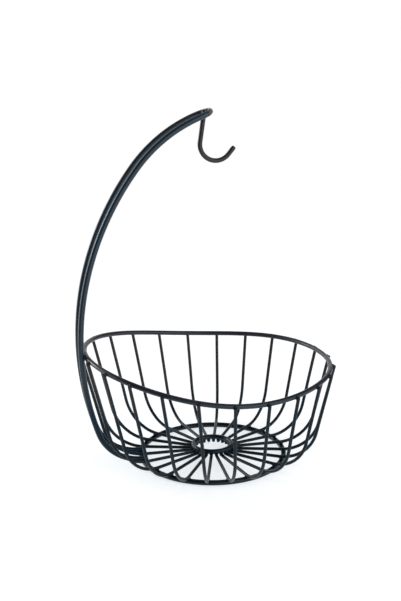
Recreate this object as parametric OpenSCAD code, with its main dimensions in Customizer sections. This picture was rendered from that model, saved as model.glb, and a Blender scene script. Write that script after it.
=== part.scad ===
// Wire storage basket: twenty-four bent ribs on a base ring, a waving rim and a hairpin stand with a hook.
// All sizes are in millimetres. The origin is on the floor at the middle of the basket's length and width,
// +Z is up, and the stand rises at the -X side.

/* [Base ring] */
// Diameter of the base ring, centre to centre of its wire
base_ring_d = 160; // [157:1:200]
// Thickness of the base ring's wire
base_wire_d = 5.8; // [4.5:0.1:7]
// Depth of the flat on the underside, on which the basket rests
foot_flat = 0.3; // [0.2:0.05:0.5]

/* [Hub ring] */
// Diameter of the hub ring, centre to centre of its wire
hub_ring_d = 42.4; // [40:0.2:52]
// Thickness of the hub ring's wire
hub_wire_d = 5.4; // [4:0.1:6]

/* [Ribs] */
// Thickness of a rib's wire
rib_wire_d = 3.6; // [2.8:0.1:3.8]
// Distance of a rib's inner end from the middle of the basket
rib_inner_r = 19.6; // [17:0.1:20.5]
// Radius of the bend between a rib's spoke and its side, at the wire's centre
rib_bend_r = 43.2; // [32:0.1:55]
// Widening of that bend at the far end, lost again at the stand
bend_wave_1 = -1.9; // [-5:0.1:5]
// Widening of that bend at both ends, lost at the sides
bend_wave_2 = 0.6; // [-5:0.1:5]
// Distance from the base ring's centreline in to the start of that bend
rib_bend_inset = 2.4; // [0:0.1:6]
// Length of a rib past the point where it touches the rim
rib_past = 1.4; // [1:0.1:2.4]
// Turn of the fan of ribs against the plane of the stand, in degrees
fan_angle = -2.16; // [-2.4:0.01:2.4]
// Sideways lean of the ribs towards the far end, in degrees round the rim
end_lean_angle = 1.6; // [-2:0.01:2]
// Sideways lean of the ribs away from the ends, in degrees round the rim
side_lean_angle = -1.47; // [-2:0.01:2]

/* [Rim] */
// Thickness of the rim's wire
rim_wire_d = 5.3; // [4:0.1:6]
// Mean radius of the rim's centreline
rim_r = 131.1; // [120:0.1:150]
// Mean height of the rim's centreline
rim_z = 112.7; // [95:0.1:135]
// Widening of the rim at the far end, lost again at the stand
reach_wave_1 = -4.5; // [-6:0.1:6]
// Widening of the rim at both ends, lost at the sides
reach_wave_2 = 3.5; // [-6:0.1:6]
// Rise of the rim at the far end, lost again at the stand
height_wave_1 = -11.4; // [-20:0.1:0]
// Rise of the rim at both ends, lost at the sides
height_wave_2 = 6.9; // [0:0.1:12]
// Third wave of the rim's height
height_wave_3 = -0.5; // [-2:0.1:2]
// Fourth wave of the rim's height
height_wave_4 = -0.8; // [-2:0.1:2]

/* [Stand] */
// Thickness of the stand's rod
rod_d = 6.2; // [5.4:0.1:6.8]
// Distance between the stand's two legs, centre to centre
rod_spacing = 24.8; // [22:0.1:25.5]
// Length of a leg past the base ring's centreline, towards the middle
leg_past = 1.5; // [1:0.1:3]
// Radius of the bend at the stand's foot
foot_bend_r = 49.8; // [42:0.2:56]
// Turn of the bend at the stand's foot, in degrees
foot_bend_angle = 71.8; // [66:0.1:76]
// Radius of the stand's long back
back_bend_r = 307.4; // [280:0.1:340]
// Turn of the stand's long back, in degrees
back_bend_angle = 55.8; // [45:0.1:62]
// Radius of the stand's neck
neck_bend_r = 157.7; // [130:0.1:200]
// Turn of the stand's neck, in degrees
neck_bend_angle = 31.5; // [24:0.1:40]

/* [Hook] */
// Thickness of the hook's wire
hook_wire_d = 5; // [4:0.1:5.6]
// Lean of the hook's shank from upright, in degrees
hook_lean_angle = 8.7; // [4:0.1:14]
// Length of the shank above the place where it touches the stand's tip
hook_head = 0.5; // [0:0.1:2]
// Length of the shank below that place
hook_shank = 32.6; // [24:0.1:42]
// Radius of the hook's bend, at the wire's centre
hook_bend_r = 17.3; // [12:0.1:22]
// Turn of the hook's bend, in degrees
hook_bend_angle = 149.3; // [130:0.1:175]
// Length of the straight end after the bend
hook_end = 9.9; // [6:0.1:16]

/* [Clearances] */
// Room between two wires that are welded where they cross
weld_gap = 0.1; // [0.05:0.01:0.15]
// Room between the waving rim and what is welded to its outside
rim_weld_gap = 0.16; // [0.15:0.01:0.2]

/* [Hidden] */
$fn = 64;
paint = [0.16, 0.18, 0.21];

// Steps along the bends and faces round the wires
rib_bend_steps = 9;
rib_sides = 10;
rim_steps = 144;
rim_sides = 12;
foot_steps = 8;
back_steps = 14;
neck_steps = 6;
tip_steps = 12;
rod_sides = 12;
hook_steps = 16;
hook_sides = 12;

// Heights that follow from the wires lying on one another
base_ring_r = base_ring_d / 2;
ring_z = base_wire_d / 2 - foot_flat;
ring_top = base_wire_d - foot_flat;
spoke_z = ring_top + weld_gap + rib_wire_d / 2;
hub_z = spoke_z + rib_wire_d / 2 + weld_gap + hub_wire_d / 2;
leg_z = ring_top + weld_gap + rod_d / 2;

// A place at a distance and an angle round a middle
function spoke_of(r, a) = [r * cos(a), r * sin(a)];

// The fan of ribs, counted from the stand against the clock as seen from above
rib_count = 24;
rib_step = 360 / rib_count;
bend_start_r = base_ring_r - rib_bend_inset;
rib_weld = (rim_wire_d + rib_wire_d) / 2 + rim_weld_gap;

function rib_angle(i) = 180 + fan_angle + i * rib_step;
function lean_shift(a) = end_lean_angle * sin(a) + side_lean_angle * sin(2 * a);
function top_angle(i) = rib_angle(i) + lean_shift(rib_angle(i));
function rib_bend(i) = rib_bend_r + bend_wave_1 * cos(rib_angle(i)) + bend_wave_2 * cos(2 * rib_angle(i));

// The rim's centreline round the basket, from the far end at angle zero
function rim_reach(a) = rim_r + reach_wave_1 * cos(a) + reach_wave_2 * cos(2 * a);
function rim_wave(a) = height_wave_1 * cos(a) + height_wave_2 * cos(2 * a);
function rim_ripple(a) = height_wave_3 * cos(3 * a) + height_wave_4 * cos(4 * a);
function rim_height(a) = rim_z + rim_wave(a) + rim_ripple(a);
function rim_point(a) = [rim_reach(a) * cos(a), rim_reach(a) * sin(a), rim_height(a)];
function unit(v) = v / norm(v);
function rim_heading(a) = unit(rim_point(a + 1) - rim_point(a - 1));

// The stand's centreline in its own plane: x and z of the bends' middles and ends
leg_y = rod_spacing / 2;
leg_end_x = leg_past - sqrt(pow(base_ring_r, 2) - pow(leg_y, 2));
foot_stop = 270 - foot_bend_angle;
back_stop = foot_stop - back_bend_angle;
neck_stop = back_stop - neck_bend_angle;
foot_middle_z = leg_z + foot_bend_r;
back_from_foot = spoke_of(foot_bend_r - back_bend_r, foot_stop);
back_middle_z = foot_middle_z + back_from_foot[1];
stand_angle = 180 - asin(leg_y / rim_reach(180));
stand_weld = (rim_wire_d + rod_d) / 2 + rim_weld_gap;
weld_x = rim_point(stand_angle)[0];
weld_drop = rim_point(stand_angle)[2] - back_middle_z;
back_middle_x = weld_x + sqrt(pow(back_bend_r - stand_weld, 2) - pow(weld_drop, 2));
back_middle = [back_middle_x, back_middle_z];
foot_middle = back_middle - back_from_foot;
neck_middle = back_middle + spoke_of(back_bend_r - neck_bend_r, back_stop);
neck_end = neck_middle + spoke_of(neck_bend_r, neck_stop);
tip_rise = neck_stop - 90;
tip = neck_end + spoke_of(rod_spacing / 2, tip_rise);

// The hook's centreline, against the inside of the stand's tip
hook_off = (rod_d + hook_wire_d) / 2 + weld_gap;
hook_touch = tip - spoke_of(hook_off, -hook_lean_angle);
hook_down = spoke_of(1, 270 - hook_lean_angle);
hook_start = hook_touch - hook_head * hook_down;
hook_bend_start = hook_touch + hook_shank * hook_down;
hook_middle = hook_bend_start + spoke_of(hook_bend_r, -hook_lean_angle);
hook_stop = 180 - hook_lean_angle + hook_bend_angle;
hook_bend_end = hook_middle + spoke_of(hook_bend_r, hook_stop);

// The origin lies midway between the stand's back and the ribs at the far end
stand_out_x = back_middle_x - back_bend_r - rod_d / 2;
far_out_x = rim_reach(0) + rib_weld + rib_wire_d / 2;
middle_x = (stand_out_x + far_out_x) / 2;

module placed() {
  translate([-middle_x, 0, 0])
    children();
}

// Stations of a wire: each has a place, a heading and the direction that is up across the wire
function station(p, heading) = [
  [p[0], 0, p[1]],
  [cos(heading), 0, sin(heading)],
  [-sin(heading), 0, cos(heading)]
];
function bend(middle, r, from, turn, steps) = [
  for (k = [0 : steps])
    let (a = from + turn * k / steps)
      station(middle + spoke_of(r, a), turn > 0 ? a + 90 : a - 90)
];
function after_first(list) = [for (k = [1 : len(list) - 1]) list[k]];
function moved(s, by) = [s[0] + by, s[1], s[2]];
function reversed(s) = [s[0], -s[1], s[2]];

// A round wire swept through its stations, closed to a loop or cut square at both ends
module wire(d, stations, sides, closed = false) {
  count = len(stations);
  last = closed ? count - 1 : count - 2;
  wire_points = [
    for (s = stations)
      let (out = cross(s[1], s[2]))
        for (j = [0 : sides - 1])
          s[0] + d / 2 * (cos(j * 360 / sides) * out + sin(j * 360 / sides) * s[2])
  ];
  function index(i, j) = (i % count) * sides + j % sides;
  skin = [
    for (i = [0 : last])
      for (j = [0 : sides - 1])
        each [
          [index(i, j), index(i + 1, j + 1), index(i + 1, j)],
          [index(i, j), index(i, j + 1), index(i + 1, j + 1)]
        ]
  ];
  ends = closed ? [] : [
    [for (j = [sides - 1 : -1 : 0]) index(0, j)],
    [for (j = [0 : sides - 1]) index(count - 1, j)]
  ];
  polyhedron(points = wire_points, faces = concat(skin, ends), convexity = 6);
}

module ring(d, wire) {
  rotate_extrude()
    translate([d / 2, 0])
      circle(d = wire);
}

// A rib: a spoke along the floor of the basket, a bend and a straight side that touches the rim
module rib(i) {
  top = top_angle(i);
  shift = top - rib_angle(i);
  side = rim_reach(top) * sin(shift);
  rise = norm([side, rim_height(top) - spoke_z]);
  bend_r = rib_bend(i);
  lean = atan2(side, rim_height(top) - spoke_z);
  to_rim = [rim_reach(top) * cos(shift) - bend_start_r, rise - bend_r];
  span = norm(to_rim);
  slope = atan2(to_rim[1], to_rim[0]) + asin((bend_r - rib_weld) / span);
  side_length = sqrt(pow(span, 2) - pow(bend_r - rib_weld, 2)) + rib_past;
  bend_middle = [bend_start_r, bend_r];
  bend_end = bend_middle + spoke_of(bend_r, slope - 90);
  stations = concat(
    [station([rib_inner_r, 0], 0)],
    bend(bend_middle, bend_r, 270, slope, rib_bend_steps),
    [station(bend_end + spoke_of(side_length, slope), slope)]
  );
  translate([0, 0, spoke_z])
    rotate([0, 0, rib_angle(i)])
      rotate([-lean, 0, 0])
        wire(rib_wire_d, stations, rib_sides);
}

module rib_01() { color(paint) placed() rib(0); }
module rib_02() { color(paint) placed() rib(1); }
module rib_03() { color(paint) placed() rib(2); }
module rib_04() { color(paint) placed() rib(3); }
module rib_05() { color(paint) placed() rib(4); }
module rib_06() { color(paint) placed() rib(5); }
module rib_07() { color(paint) placed() rib(6); }
module rib_08() { color(paint) placed() rib(7); }
module rib_09() { color(paint) placed() rib(8); }
module rib_10() { color(paint) placed() rib(9); }
module rib_11() { color(paint) placed() rib(10); }
module rib_12() { color(paint) placed() rib(11); }
module rib_13() { color(paint) placed() rib(12); }
module rib_14() { color(paint) placed() rib(13); }
module rib_15() { color(paint) placed() rib(14); }
module rib_16() { color(paint) placed() rib(15); }
module rib_17() { color(paint) placed() rib(16); }
module rib_18() { color(paint) placed() rib(17); }
module rib_19() { color(paint) placed() rib(18); }
module rib_20() { color(paint) placed() rib(19); }
module rib_21() { color(paint) placed() rib(20); }
module rib_22() { color(paint) placed() rib(21); }
module rib_23() { color(paint) placed() rib(22); }
module rib_24() { color(paint) placed() rib(23); }

// The rim: a round wire swept along the waving centreline
module rim_ring() {
  stations = [
    for (i = [0 : rim_steps - 1])
      let (
        a = i * 360 / rim_steps,
        along = rim_heading(a),
        out = unit(cross(along, [0, 0, 1]))
      )
        [rim_point(a), along, cross(out, along)]
  ];
  color(paint)
    placed()
      wire(rim_wire_d, stations, rim_sides, closed = true);
}

// The base ring, cut flat underneath so that it rests on a face
module base_ring() {
  color(paint)
    placed()
      translate([0, 0, ring_z])
        difference() {
          ring(base_ring_d, base_wire_d);
          translate([0, 0, -base_wire_d - ring_z])
            cylinder(r = base_ring_r + base_wire_d, h = base_wire_d);
        }
}

// The hub ring lies on the spokes' inner ends
module hub_ring() {
  color(paint)
    placed()
      translate([0, 0, hub_z])
        ring(hub_ring_d, hub_wire_d);
}

// The stand: one rod bent to a hairpin, its two ends lying on the base ring
module hanger_stand() {
  leg = concat(
    [station([leg_end_x, leg_z], 180)],
    bend(foot_middle, foot_bend_r, 270, -foot_bend_angle, foot_steps),
    after_first(bend(back_middle, back_bend_r, foot_stop, -back_bend_angle, back_steps)),
    after_first(bend(neck_middle, neck_bend_r, back_stop, -neck_bend_angle, neck_steps))
  );
  ahead = station(tip, tip_rise)[1];
  across = station(tip, tip_rise)[2];
  aside = [0, 1, 0];
  tip_middle = station(neck_end, tip_rise)[0];
  hairpin = [
    for (k = [1 : tip_steps - 1])
      let (a = 180 * k / tip_steps)
        [
          tip_middle + leg_y * (sin(a) * ahead - cos(a) * aside),
          cos(a) * ahead + sin(a) * aside,
          across
        ]
  ];
  stations = concat(
    [for (s = leg) moved(s, -leg_y * aside)],
    hairpin,
    [for (k = [len(leg) - 1 : -1 : 0]) moved(reversed(leg[k]), leg_y * aside)]
  );
  color(paint)
    placed()
      wire(rod_d, stations, rod_sides);
}

// The hook: a wire welded inside the stand's tip, open towards the far end
module banana_hook() {
  stations = concat(
    [station(hook_start, 270 - hook_lean_angle)],
    bend(hook_middle, hook_bend_r, 180 - hook_lean_angle, hook_bend_angle, hook_steps),
    [station(hook_bend_end + spoke_of(hook_end, hook_stop + 90), hook_stop + 90)]
  );
  color(paint)
    placed()
      wire(hook_wire_d, stations, hook_sides);
}

rim_ring();
base_ring();
hub_ring();
hanger_stand();
banana_hook();
rib_01();
rib_02();
rib_03();
rib_04();
rib_05();
rib_06();
rib_07();
rib_08();
rib_09();
rib_10();
rib_11();
rib_12();
rib_13();
rib_14();
rib_15();
rib_16();
rib_17();
rib_18();
rib_19();
rib_20();
rib_21();
rib_22();
rib_23();
rib_24();
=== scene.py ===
import math
from typing import NamedTuple

import bmesh
import bpy
import numpy as np
from mathutils import Matrix, Vector, noise


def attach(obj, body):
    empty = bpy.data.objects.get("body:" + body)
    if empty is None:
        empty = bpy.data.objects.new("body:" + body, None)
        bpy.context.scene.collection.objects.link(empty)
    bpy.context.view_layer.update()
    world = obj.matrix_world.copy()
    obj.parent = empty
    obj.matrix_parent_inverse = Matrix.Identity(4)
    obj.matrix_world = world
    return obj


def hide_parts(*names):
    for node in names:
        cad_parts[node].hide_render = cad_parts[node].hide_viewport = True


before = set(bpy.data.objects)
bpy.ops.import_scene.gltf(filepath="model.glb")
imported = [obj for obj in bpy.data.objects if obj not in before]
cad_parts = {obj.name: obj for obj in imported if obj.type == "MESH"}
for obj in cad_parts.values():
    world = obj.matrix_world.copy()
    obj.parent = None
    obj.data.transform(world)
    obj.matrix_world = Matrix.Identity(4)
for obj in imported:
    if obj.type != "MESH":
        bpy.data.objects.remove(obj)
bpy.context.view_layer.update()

MM = 0.001

# Sizes of the basket in millimetres and degrees, as in the CAD source. A bend is a radius and
# a turn. A wave is its shares of cos(a), cos(2a) and so on, with a going round the basket.
BASE_R = 80.0
BASE_D = 5.8
FOOT_FLAT = 0.3
HUB_R = 21.2
HUB_D = 5.4
RIB_COUNT = sum(name.startswith("rib_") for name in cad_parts)
RIB_D = 3.6
RIB_INNER_R = 19.6
RIB_BEND_R = 43.2
RIB_BEND_WAVE = (-1.9, 0.6)
RIB_INSET = 2.4
RIB_PAST = 1.4
RIB_FAN = -2.16
END_LEAN = 1.6
SIDE_LEAN = -1.47
RIM_D = 5.3
RIM_R = 131.1
RIM_Z = 112.7
RIM_REACH_WAVE = (-4.5, 3.5)
RIM_HEIGHT_WAVE = (-11.4, 6.9, -0.5, -0.8)
ROD_D = 6.2
ROD_SPACING = 24.8
LEG_PAST = 1.5
FOOT_BEND = (49.8, 71.8)
BACK_BEND = (307.4, 55.8)
NECK_BEND = (157.7, 31.5)
HOOK_D = 5.0
HOOK_LEAN = 8.7
HOOK_HEAD = 0.5
HOOK_SHANK = 32.6
HOOK_BEND = (17.3, 149.3)
HOOK_END = 9.9
GAP = 0.1
RIM_GAP = 0.16

# Heights over the floor, each wire on the one below with the gap of a weld, and the legs' place aside
RING_Z = BASE_D / 2 - FOOT_FLAT
RING_TOP = BASE_D - FOOT_FLAT
SPOKE_Z = RING_TOP + GAP + RIB_D / 2
HUB_Z = SPOKE_Z + RIB_D / 2 + GAP + HUB_D / 2
LEG_Z = RING_TOP + GAP + ROD_D / 2
LEG_Y = ROD_SPACING / 2

# A cut wire's softened edge: how far back it is in diameters, and the share of the radius there
CUT_EDGE = ((0.0, 0.0), (0.0, 0.62), (0.07, 0.84), (0.18, 0.96), (0.34, 1.0))

# Weld beads: sizes as shares of the first wire's diameter, with a share of the second's along
# the first wire, then the scale and height of their lumps. The hook's bead sits a little low.
BEAD_ALONG = 0.25
BEAD_ALONG_SECOND = 0.30
BEAD_ACROSS = 0.66
BEAD_THICK = 0.40
BEAD_LUMPS = 1.6
BEAD_UNEVEN = 0.22
BEAD_SEED_STEP = 0.37
HOOK_BEAD_DROP = 1.0

# Paint: its noises' scales per metre, and how far its colour and roughness go to both sides
CLOUDS = 38
RUBBED = 210
SHEEN = 95
SKIN = 900
DENTS = 160
DARKER = 0.78
LIGHTER = 1.25
GLOSSIER = -0.07
DULLER = 0.1

# Painted shade near the floor: the paint turns darker and bluer below a limit between two heights in metres
# that are lower towards the back, made uneven by noise, and there it keeps these shares of red, green and
# blue
SHADE_FULL_END = 0.055
SHADE_FADE_END = 0.125
SHADE_BACK_DROP = 0.35
SHADE_EDGE_NOISE = 24
SHADE_EDGE_UNEVEN = 0.03
PAINTED_SHADE_BLUE = (0.7, 1.0, 1.15)

# The pale grey place at the stand's tip, by metres from its end
PALE_TIP_END = 0.0150
PALE_TIP_FADE_END = 0.0180
PALE_TIP_NOISE = 260
PALE_TIP_UNEVEN = 0.006
PALE_TIP_COLOUR = (0.105, 0.098, 0.100)

# Floor, in metres: just under the foot, round, and ending in the white of the room
FLOOR_R = 0.62
FLOOR_Z = -0.0004

# Camera, from a fit to the photograph: millimetres, degrees, and pixels of the picture
CAMERA_AT = (-248.2, -1012.8, 462.9)
CAMERA_YAW = 76.88
CAMERA_PITCH = -15.19
CAMERA_ROLL = -0.58
FOCAL_PIXELS = 997.1
PICTURE_WIDTH = 401
SENSOR_WIDTH = 36

# How bright the room is away from its bright sides
ROOM_DIM = 0.1


def cos(a):
    return math.cos(math.radians(a))


def sin(a):
    return math.sin(math.radians(a))


def polar(r, a):
    return np.array([r * cos(a), r * sin(a)])


def unit(v):
    return v / np.linalg.norm(v)


def wave(shares, a):
    return sum(share * cos((k + 1) * a) for k, share in enumerate(shares))


def rim_reach(a):
    return RIM_R + wave(RIM_REACH_WAVE, a)


def rim_point(a):
    return np.array([*polar(rim_reach(a), a), RIM_Z + wave(RIM_HEIGHT_WAVE, a)])


# The stand's centreline in its own upright plane: the middles of its bends, and its tip
foot_stop = 270 - FOOT_BEND[1]
back_stop = foot_stop - BACK_BEND[1]
neck_stop = back_stop - NECK_BEND[1]
back_from_foot = polar(FOOT_BEND[0] - BACK_BEND[0], foot_stop)
back_z = LEG_Z + FOOT_BEND[0] + back_from_foot[1]
stand_angle = 180 - math.degrees(math.asin(LEG_Y / rim_reach(180)))
stand_weld = (RIM_D + ROD_D) / 2 + RIM_GAP
weld_at = rim_point(stand_angle)
back_reach = math.sqrt((BACK_BEND[0] - stand_weld) ** 2 - (weld_at[2] - back_z) ** 2)
back_middle = np.array([weld_at[0] + back_reach, back_z])
foot_middle = back_middle - back_from_foot
neck_middle = back_middle + polar(BACK_BEND[0] - NECK_BEND[0], back_stop)
neck_end = neck_middle + polar(NECK_BEND[0], neck_stop)
tip_rise = neck_stop - 90
tip = neck_end + polar(LEG_Y, tip_rise)
ring_reach = math.sqrt(BASE_R ** 2 - LEG_Y ** 2)
leg_end_x = LEG_PAST - ring_reach

# The hook's centreline against the inside of the stand's tip
hook_touch = tip - polar((ROD_D + HOOK_D) / 2 + GAP, -HOOK_LEAN)
hook_down = polar(1, 270 - HOOK_LEAN)
hook_bend_start = hook_touch + HOOK_SHANK * hook_down
hook_middle = hook_bend_start + polar(HOOK_BEND[0], -HOOK_LEAN)
hook_stop = 180 - HOOK_LEAN + HOOK_BEND[1]
hook_bend_end = hook_middle + polar(HOOK_BEND[0], hook_stop)

# The origin lies midway along the basket
stand_out = back_middle[0] - BACK_BEND[0] - ROD_D / 2
far_out = rim_reach(0) + (RIM_D + RIB_D) / 2 + RIM_GAP + RIB_D / 2
SHIFT = np.array([-(stand_out + far_out) / 2, 0, 0])

ASIDE = np.array([0, 1.0, 0])
UPWARD = np.array([0, 0, 1.0])


class Station(NamedTuple):
    """A place on a wire's centreline, the wire's heading there and the direction up across it."""

    at: np.ndarray
    ahead: np.ndarray
    up: np.ndarray


def station(p, heading):
    """A station in the upright plane of x and z."""
    return Station(
        np.array([p[0], 0.0, p[1]]),
        np.array([cos(heading), 0.0, sin(heading)]),
        np.array([-sin(heading), 0.0, cos(heading)]),
    )


def bend(middle, r, start, turn, steps):
    quarter = math.copysign(90, turn)
    angles = [start + turn * k / steps for k in range(steps + 1)]
    return [station(middle + polar(r, a), a + quarter) for a in angles]


def straight(start, stop, heading, steps):
    start, stop = np.array(start, float), np.array(stop, float)
    return [station(start + (stop - start) * k / steps, heading) for k in range(steps + 1)]


def turn_z(a):
    return np.array([[cos(a), -sin(a), 0], [sin(a), cos(a), 0], [0, 0, 1]])


def turn_x(a):
    return np.array([[1, 0, 0], [0, cos(a), -sin(a)], [0, sin(a), cos(a)]])


def soften_ends(stations, d):
    """The stations with softened cut ends, and the share of the full radius at each."""
    first, last = stations[0], stations[-1]
    start = [first._replace(at=first.at + first.ahead * back * d) for back, share in CUT_EDGE]
    stop = [last._replace(at=last.at - last.ahead * back * d) for back, share in CUT_EDGE]
    body = stations[1:-1]
    edge = [share for back, share in CUT_EDGE]
    return start + body + stop[::-1], edge + [1.0] * len(body) + edge[::-1]


def new_object(name, data):
    obj = bpy.data.objects.new(name, data)
    bpy.context.scene.collection.objects.link(obj)
    return obj


def wire_mesh(name, stations, d, sides, closed=False, shares=None, floor_z=None):
    """A tube through its stations. A share of 0 closes its end, and floor_z cuts its underside level."""
    shares = shares or [1.0] * len(stations)
    verts, rows = [], []
    for s, share in zip(stations, shares):
        corners = sides if share else 1
        rows.append(range(len(verts), len(verts) + corners))
        outward = np.cross(s.ahead, s.up)
        for j in range(corners):
            b = 360 * j / sides
            p = s.at + d / 2 * share * (cos(b) * outward + sin(b) * s.up)
            if floor_z is not None:
                p[2] = max(p[2], floor_z)
            verts.append(p + SHIFT)
    faces = []
    following = rows[1:] + rows[:1] if closed else rows[1:]
    for a, b in zip(rows, following):
        for j in range(sides):
            k = (j + 1) % sides
            if len(a) == 1:
                faces.append((a[0], b[k], b[j]))
            elif len(b) == 1:
                faces.append((a[j], a[k], b[0]))
            else:
                faces.append((a[j], a[k], b[k], b[j]))
    mesh = bpy.data.meshes.new(name)
    mesh.from_pydata([tuple(v * MM) for v in verts], [], faces)
    mesh.validate()
    mesh.polygons.foreach_set("use_smooth", [True] * len(mesh.polygons))
    mesh.update()
    return new_object(name, mesh)


def cut_wire(name, stations, d, sides):
    """A wire with two softened cut ends."""
    stations, shares = soften_ends(stations, d)
    return wire_mesh(name, stations, d, sides, shares=shares)


# Materials
def node(tree, kind, inputs, **settings):
    """A new node with its settings made, and its inputs linked from sockets or set to values."""
    made = tree.nodes.new(f"ShaderNode{kind}")
    for key, value in settings.items():
        setattr(made, key, value)
    for key, value in inputs.items():
        if isinstance(value, bpy.types.NodeSocket):
            tree.links.new(value, made.inputs[key])
        else:
            made.inputs[key].default_value = value
    return made


def ramp(tree, source, stops):
    made = node(tree, "ValToRGB", {0: source})
    elements = made.color_ramp.elements
    while len(elements) < len(stops):
        elements.new(0.5)
    for element, (at, colour) in zip(elements, stops):
        element.position = at
        element.color = (*colour, 1)
    return made.outputs[0]


def mix(tree, factor, a, b, blend="MIX"):
    inputs = {"Factor": factor, "A": a, "B": b}
    return node(tree, "Mix", inputs, data_type="RGBA", blend_type=blend).outputs["Result"]


def add_scaled(tree, value, scale, other):
    return node(tree, "Math", {0: value, 1: scale, 2: other}, operation="MULTIPLY_ADD").outputs[0]


def stretch(tree, value, low, high, ease):
    inputs = {"Value": value, "From Min": low, "From Max": high}
    return node(tree, "MapRange", inputs, interpolation_type=ease).outputs[0]


def paint(name, colour, worn, rough, seed, shine, tint=(1, 1, 1), low=None, shade_gloss_tint=None, tip_at=None):
    """Semi-gloss paint on wire: cloudy colour, a fine skin and rubbed places from noise.

    low is the share of the colour that is left near the floor as a painted shade, and the tint that follows
    it is the gloss colour there, blued as part of that painted shade.
    tip_at is the middle of a place that is turned a pale grey.
    """
    material = bpy.data.materials.new(name)
    material.use_nodes = True
    tree = material.node_tree
    tree.nodes.clear()
    place = node(tree, "TexCoord", {}).outputs["Object"]
    moved = node(tree, "Mapping", {"Vector": place, "Location": (seed, seed * 0.7, -seed)}).outputs[0]

    def cloud(scale, detail, roughness=0.5):
        inputs = {"Vector": moved, "Scale": scale, "Detail": detail, "Roughness": roughness}
        return node(tree, "TexNoise", inputs).outputs["Fac"]

    darker = tuple(c * DARKER for c in colour)
    lighter = tuple(c * LIGHTER for c in colour)
    base = ramp(tree, cloud(CLOUDS, 4), [(0.32, darker), (0.5, colour), (0.7, lighter)])
    rubbed = ramp(tree, cloud(RUBBED, 6, 0.62), [(0.64, (0, 0, 0)), (0.74, (1, 1, 1))])
    base = mix(tree, rubbed, base, (*worn, 1))
    gloss_tint = (*tint, 1)
    # Painted shade: towards the floor and the front the colour is darkened and blued, and the gloss is
    # tinted blue
    if low:
        parts = node(tree, "SeparateXYZ", {0: place}).outputs
        level = add_scaled(tree, parts["Y"], SHADE_BACK_DROP, parts["Z"])
        level = add_scaled(tree, cloud(SHADE_EDGE_NOISE, 2), SHADE_EDGE_UNEVEN, level)
        high = stretch(tree, level, SHADE_FULL_END, SHADE_FADE_END, "SMOOTHSTEP")
        painted_shade_colour = (*(low * c for c in PAINTED_SHADE_BLUE), 1)
        base = mix(tree, high, mix(tree, 1.0, base, painted_shade_colour, "MULTIPLY"), base)
        gloss_tint = mix(tree, high, (*shade_gloss_tint, 1), gloss_tint)
    # A pale warm grey patch round the stand's tip, with an uneven edge
    if tip_at:
        reach = node(tree, "VectorMath", {0: place, 1: tip_at}, operation="DISTANCE").outputs["Value"]
        reach = add_scaled(tree, cloud(PALE_TIP_NOISE, 4), PALE_TIP_UNEVEN, reach)
        beyond_pale_tip = stretch(tree, reach, PALE_TIP_END, PALE_TIP_FADE_END, "LINEAR")
        base = mix(tree, beyond_pale_tip, (*PALE_TIP_COLOUR, 1), base)
    sheen_stops = [(0.3, (rough + GLOSSIER,) * 3), (0.7, (rough + DULLER,) * 3)]
    roughness = ramp(tree, cloud(SHEEN, 5), sheen_stops)
    skin = node(tree, "Bump", {"Strength": 0.22, "Distance": 0.0002, "Height": cloud(SKIN, 3)})
    dents = node(tree, "Bump", {
        "Strength": 0.14,
        "Distance": 0.0006,
        "Height": cloud(DENTS, 3),
        "Normal": skin.outputs[0],
    })
    shader = node(tree, "BsdfPrincipled", {
        "Base Color": base,
        "Roughness": roughness,
        "IOR": 1.45,
        "Specular IOR Level": shine,
        "Specular Tint": gloss_tint,
        "Normal": dents.outputs[0],
    })
    node(tree, "OutputMaterial", {"Surface": shader.outputs[0]})
    return material


tip_end = (station(tip, tip_rise).at + ROD_D / 2 * station(tip, tip_rise).ahead + SHIFT) * MM
# Paints; low and the tint after it set each paint's painted shade near the floor
STAND_PAINT = paint(
    "stand_paint", (0.0105, 0.0188, 0.0280), worn=(0.034, 0.050, 0.066), rough=0.24, seed=1.0, shine=0.55,
    tint=(0.72, 0.88, 1.0), low=0.45, shade_gloss_tint=(0.28, 0.50, 0.72), tip_at=tuple(tip_end))
RIM_PAINT = paint(
    "rim_paint", (0.0170, 0.0190, 0.0270), worn=(0.046, 0.054, 0.068), rough=0.28, seed=2.0, shine=0.4,
    low=1.0, shade_gloss_tint=(0.74, 0.88, 1.0))
RING_PAINT = paint(
    "ring_paint", (0.0014, 0.0047, 0.0090), worn=(0.010, 0.020, 0.030), rough=0.28, seed=3.0, shine=0.5,
    tint=(0.45, 0.72, 0.92))
RIB_PAINT = paint(
    "rib_paint", (0.0096, 0.0100, 0.0120), worn=(0.030, 0.033, 0.038), rough=0.34, seed=4.0, shine=0.4,
    low=0.62, shade_gloss_tint=(0.40, 0.70, 0.94))
HOOK_PAINT = paint(
    "hook_paint", (0.0195, 0.0190, 0.0245), worn=(0.056, 0.055, 0.064), rough=0.32, seed=5.0, shine=0.36)
WELD_PAINT = paint(
    "weld_paint", (0.0070, 0.0090, 0.0115), worn=(0.034, 0.038, 0.042), rough=0.42, seed=6.0, shine=0.4,
    low=0.62, shade_gloss_tint=(0.45, 0.72, 0.92))


def finish_piece(obj, material, slot, *nodes):
    obj.data.materials.append(material)
    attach(obj, "root")
    if nodes:
        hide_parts(*nodes)


class Weld(NamedTuple):
    """Two crossing wires: a place on each, nearest to the other, the first one's heading, and diameters."""

    at_first: np.ndarray
    at_second: np.ndarray
    ahead: np.ndarray
    first_d: float
    second_d: float


welds = []


# Rings
def ring_stations(r, z, steps):
    angles = [360 * k / steps for k in range(steps)]
    return [Station(np.array([*polar(r, a), z]), np.array([-sin(a), cos(a), 0.0]), UPWARD) for a in angles]


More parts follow.
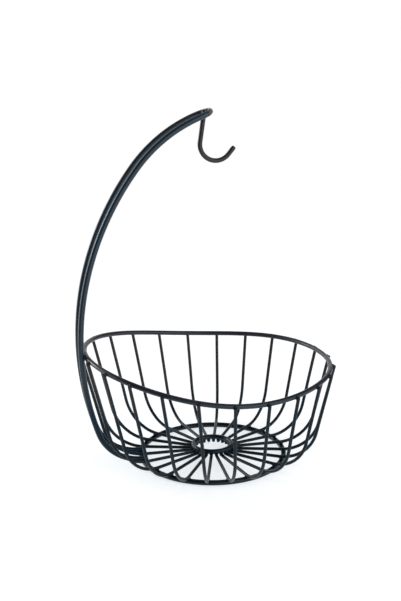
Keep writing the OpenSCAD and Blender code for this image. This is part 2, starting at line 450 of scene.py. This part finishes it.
base_ring = wire_mesh(
    "base_ring_wire", ring_stations(BASE_R, RING_Z, steps=160), BASE_D, sides=24, closed=True, floor_z=0.0)
finish_piece(base_ring, RING_PAINT, "ring_paint", "base_ring")
hub_ring = wire_mesh("hub_ring_wire", ring_stations(HUB_R, HUB_Z, steps=72), HUB_D, sides=20, closed=True)
finish_piece(hub_ring, RING_PAINT, "ring_paint", "hub_ring")


# Rim
def rim_station(a):
    ahead = unit(rim_point(a + 1) - rim_point(a - 1))
    outward = unit(np.cross(ahead, UPWARD))
    return Station(rim_point(a), ahead, np.cross(outward, ahead))


rim_stations = [rim_station(a) for a in np.arange(0, 360, 1.5)]
rim = wire_mesh("rim_wire", rim_stations, RIM_D, sides=20, closed=True)
finish_piece(rim, RIM_PAINT, "rim_paint", "rim_ring")


# Ribs: each is drawn in the plane of x and z, then leaned sideways and turned to its place
def make_rib(number, angle):
    start_r = BASE_R - RIB_INSET
    rib_weld = (RIM_D + RIB_D) / 2 + RIM_GAP
    top = angle + END_LEAN * sin(angle) + SIDE_LEAN * sin(2 * angle)
    side = rim_reach(top) * sin(top - angle)
    rise = rim_point(top)[2] - SPOKE_Z
    lean = math.degrees(math.atan2(side, rise))
    bend_r = RIB_BEND_R + wave(RIB_BEND_WAVE, angle)
    to_rim = np.array([rim_reach(top) * cos(top - angle) - start_r, math.hypot(side, rise) - bend_r])
    span = np.linalg.norm(to_rim)
    slope = math.degrees(math.atan2(to_rim[1], to_rim[0]) + math.asin((bend_r - rib_weld) / span))
    length = math.sqrt(span ** 2 - (bend_r - rib_weld) ** 2) + RIB_PAST
    middle = np.array([start_r, bend_r])
    bend_end = middle + polar(bend_r, slope - 90)
    rib_end = bend_end + polar(length, slope)
    flat = straight([RIB_INNER_R, 0], [start_r, 0], 0, steps=8)
    flat += bend(middle, bend_r, 270, slope, steps=22)[1:]
    flat += straight(bend_end, rib_end, slope, steps=6)[1:]
    turn = turn_z(angle) @ turn_x(-lean)
    lift = SPOKE_Z * UPWARD
    stations = [Station(turn @ s.at + lift, turn @ s.ahead, turn @ s.up) for s in flat]
    name = f"rib_{number:02d}"
    finish_piece(cut_wire(f"{name}_wire", stations, RIB_D, sides=14), RIB_PAINT, "rib_paint", name)

    touch = station(rib_end - polar(RIB_PAST, slope), slope)
    welds.append(Weld(turn @ touch.at + lift, rim_point(top), turn @ touch.ahead, RIB_D, RIM_D))
    ray = np.array([*polar(1, angle), 0.0])
    for r, z, d in ((BASE_R, RING_Z, BASE_D), (HUB_R, HUB_Z, HUB_D)):
        welds.append(Weld(ray * r + lift, ray * r + z * UPWARD, ray, RIB_D, d))


for i in range(RIB_COUNT):
    make_rib(i + 1, 180 + RIB_FAN + i * 360 / RIB_COUNT)

# Stand: one leg from its end on the base ring to the tip, half a turn there, and the other leg back
leg = straight([leg_end_x, LEG_Z], [foot_middle[0], LEG_Z], 180, steps=3)
leg += bend(foot_middle, FOOT_BEND[0], 270, -FOOT_BEND[1], steps=18)[1:]
leg += bend(back_middle, BACK_BEND[0], foot_stop, -BACK_BEND[1], steps=48)[1:]
leg += bend(neck_middle, NECK_BEND[0], back_stop, -NECK_BEND[1], steps=20)[1:]
turning = station(neck_end, tip_rise)
TIP_STEPS = 28
path = [s._replace(at=s.at - LEG_Y * ASIDE) for s in leg]
for k in range(1, TIP_STEPS):
    a = 180 * k / TIP_STEPS
    at = turning.at + LEG_Y * (sin(a) * turning.ahead - cos(a) * ASIDE)
    path.append(Station(at, cos(a) * turning.ahead + sin(a) * ASIDE, turning.up))
path += [Station(s.at + LEG_Y * ASIDE, -s.ahead, s.up) for s in reversed(leg)]
finish_piece(cut_wire("stand_rod", path, ROD_D, sides=24), STAND_PAINT, "stand_paint", "hanger_stand")
for way in (-1, 1):
    at_ring = np.array([-ring_reach, way * LEG_Y, 0])
    welds.append(Weld(
        at_ring + LEG_Z * UPWARD, at_ring + RING_Z * UPWARD, np.array([-1.0, 0, 0]), ROD_D, BASE_D))
    at_rim = rim_point(way * stand_angle)
    inward = unit(np.array([back_middle[0] - at_rim[0], 0, back_middle[1] - at_rim[2]]))
    welds.append(Weld(
        at_rim - inward * stand_weld, at_rim, np.array([-inward[2], 0, inward[0]]), ROD_D, RIM_D))

# Hook
path = straight(hook_touch - HOOK_HEAD * hook_down, hook_bend_start, 270 - HOOK_LEAN, steps=6)
path += bend(hook_middle, HOOK_BEND[0], 180 - HOOK_LEAN, HOOK_BEND[1], steps=36)[1:]
hook_tip = hook_bend_end + polar(HOOK_END, hook_stop + 90)
path += straight(hook_bend_end, hook_tip, hook_stop + 90, steps=3)[1:]
finish_piece(cut_wire("hook_wire", path, HOOK_D, sides=20), HOOK_PAINT, "hook_paint", "banana_hook")
bead_drop = HOOK_BEAD_DROP * hook_down
shank_weld = station(hook_touch + bead_drop, 90 - HOOK_LEAN)
tip_weld = station(tip + bead_drop, tip_rise)
welds.append(Weld(shank_weld.at, tip_weld.at, shank_weld.ahead, HOOK_D, ROD_D))


# Weld beads: at each crossing, a lump of metal in the corners on both sides
def add_bead(bm, weld, seed):
    toward = unit(weld.at_second - weld.at_first)
    contact = weld.at_first + toward * (weld.first_d / 2 + GAP / 2)
    ahead = unit(weld.ahead - toward * np.dot(weld.ahead, toward))
    across = unit(np.cross(toward, ahead))
    size = weld.first_d * np.array([BEAD_ALONG, BEAD_ACROSS, BEAD_THICK])
    size[0] += weld.second_d * BEAD_ALONG_SECOND
    found = bmesh.ops.create_icosphere(bm, subdivisions=2, radius=1.0)
    for v in found["verts"]:
        n = np.array(v.co)
        lump = noise.noise(Vector(n * BEAD_LUMPS) + Vector((seed * 3.1, seed * 1.7, seed)))
        p = n * (1.0 + lump * BEAD_UNEVEN) * size
        v.co = Vector((contact + ahead * p[0] + across * p[1] + toward * p[2] + SHIFT) * MM)
    for f in {f for v in found["verts"] for f in v.link_faces}:
        f.smooth = True


def mesh_object(name, bm):
    mesh = bpy.data.meshes.new(name)
    bm.to_mesh(mesh)
    bm.free()
    return new_object(name, mesh)


bm = bmesh.new()
for k, weld in enumerate(welds):
    add_bead(bm, weld, seed=k * BEAD_SEED_STEP)
finish_piece(mesh_object("weld_beads", bm), WELD_PAINT, "ring_paint")

# Floor: a round pale sheet with a glow of its own, so that the basket's shadows stay faint
bm = bmesh.new()
under = Matrix.Translation((0, 0, FLOOR_Z))
bmesh.ops.create_circle(bm, cap_ends=True, segments=96, radius=FLOOR_R, matrix=under)
floor = mesh_object("floor", bm)
sheet = bpy.data.materials.new("floor_sheet")
sheet.use_nodes = True
sheet_inputs = sheet.node_tree.nodes["Principled BSDF"].inputs
sheet_inputs["Base Color"].default_value = (0.68, 0.64, 0.61, 1)
sheet_inputs["Roughness"].default_value = 0.8
sheet_inputs["Specular IOR Level"].default_value = 0.1
sheet_inputs["Emission Color"].default_value = (0.91, 0.96, 1.0, 1)
sheet_inputs["Emission Strength"].default_value = 0.73
floor.data.materials.append(sheet)

# Camera
camera_at = (np.array(CAMERA_AT) + SHIFT) * MM
forward = np.array([*(cos(CAMERA_PITCH) * polar(1, CAMERA_YAW)), sin(CAMERA_PITCH)])
level_right = unit(np.cross(forward, UPWARD))
level_up = np.cross(level_right, forward)
right = level_right * cos(CAMERA_ROLL) + level_up * sin(CAMERA_ROLL)
up = level_up * cos(CAMERA_ROLL) - level_right * sin(CAMERA_ROLL)
camera_data = bpy.data.cameras.new("camera")
camera_data.sensor_fit = "HORIZONTAL"
camera_data.sensor_width = SENSOR_WIDTH
camera_data.lens = SENSOR_WIDTH * FOCAL_PIXELS / PICTURE_WIDTH
camera_data.clip_start = 0.05
camera_data.clip_end = 50
camera = new_object("camera", camera_data)
view_rows = [(right[k], up[k], -forward[k], camera_at[k]) for k in range(3)]
camera.matrix_world = Matrix((*view_rows, (0, 0, 0, 1)))
bpy.context.scene.camera = camera


# Lights: broad soft panels at the right in front and above, and a small one at the left behind
def panel(name, at, aim, size, power, tint=(1, 1, 1)):
    data = bpy.data.lights.new(name, "AREA")
    data.shape = "RECTANGLE"
    data.size, data.size_y = size
    data.energy = power
    data.color = tint
    lamp = new_object(name, data)
    lamp.location = at
    lamp.rotation_euler = (Vector(aim) - Vector(at)).to_track_quat("-Z", "Y").to_euler()


panel("right_front", at=(0.8, -1.3, 0.85), aim=(0, 0, 0.15), size=(1.5, 1.1), power=4.5)
panel(
    "left_back", at=(-1.08, 0.90, 0.50), aim=(-0.05, 0, 0.12), size=(0.34, 0.42), power=4.2,
    tint=(0.86, 0.94, 1.0))
panel("top", at=(0.1, 0.1, 2.0), aim=(0, 0, 0.1), size=(1.6, 1.6), power=3.5)

# Room: dim, with three bright sides that the wires reflect, and pure white behind everything
world = bpy.data.worlds.new("room")
world.use_nodes = True
room = world.node_tree
room.nodes.clear()
direction = node(room, "TexCoord", {}).outputs["Generated"]


def bright_side(side, low, high, level):
    dot = node(room, "VectorMath", {0: direction, 1: side}, operation="DOT_PRODUCT").outputs["Value"]
    inputs = {"Value": dot, "From Min": low, "From Max": high, "To Min": ROOM_DIM, "To Max": level}
    return node(room, "MapRange", inputs, interpolation_type="SMOOTHSTEP").outputs[0]


def brighter(a, b):
    return node(room, "Math", {0: a, 1: b}, operation="MAXIMUM").outputs[0]


right_front = bright_side((0.64, -0.77, -0.2), low=0.35, high=0.85, level=1.55)
left_back = bright_side((-0.72, 0.69, 0.0), low=0.55, high=0.9, level=1.8)
behind = bright_side((0.24, 0.97, 0.05), low=0.8, high=0.95, level=0.9)
brightness = brighter(brighter(right_front, left_back), behind)
shade = node(room, "Background", {"Color": (1, 1, 1, 1), "Strength": brightness})
white = node(room, "Background", {"Color": (1, 1, 1, 1), "Strength": 1.0})
seen = node(room, "LightPath", {}).outputs["Is Camera Ray"]
choice = node(room, "MixShader", {0: seen, 1: shade.outputs[0], 2: white.outputs[0]})
node(room, "OutputWorld", {"Surface": choice.outputs[0]})
bpy.context.scene.world = world
bpy.context.scene.view_settings.view_transform = "Standard"
bpy.context.scene.view_settings.look = "None"
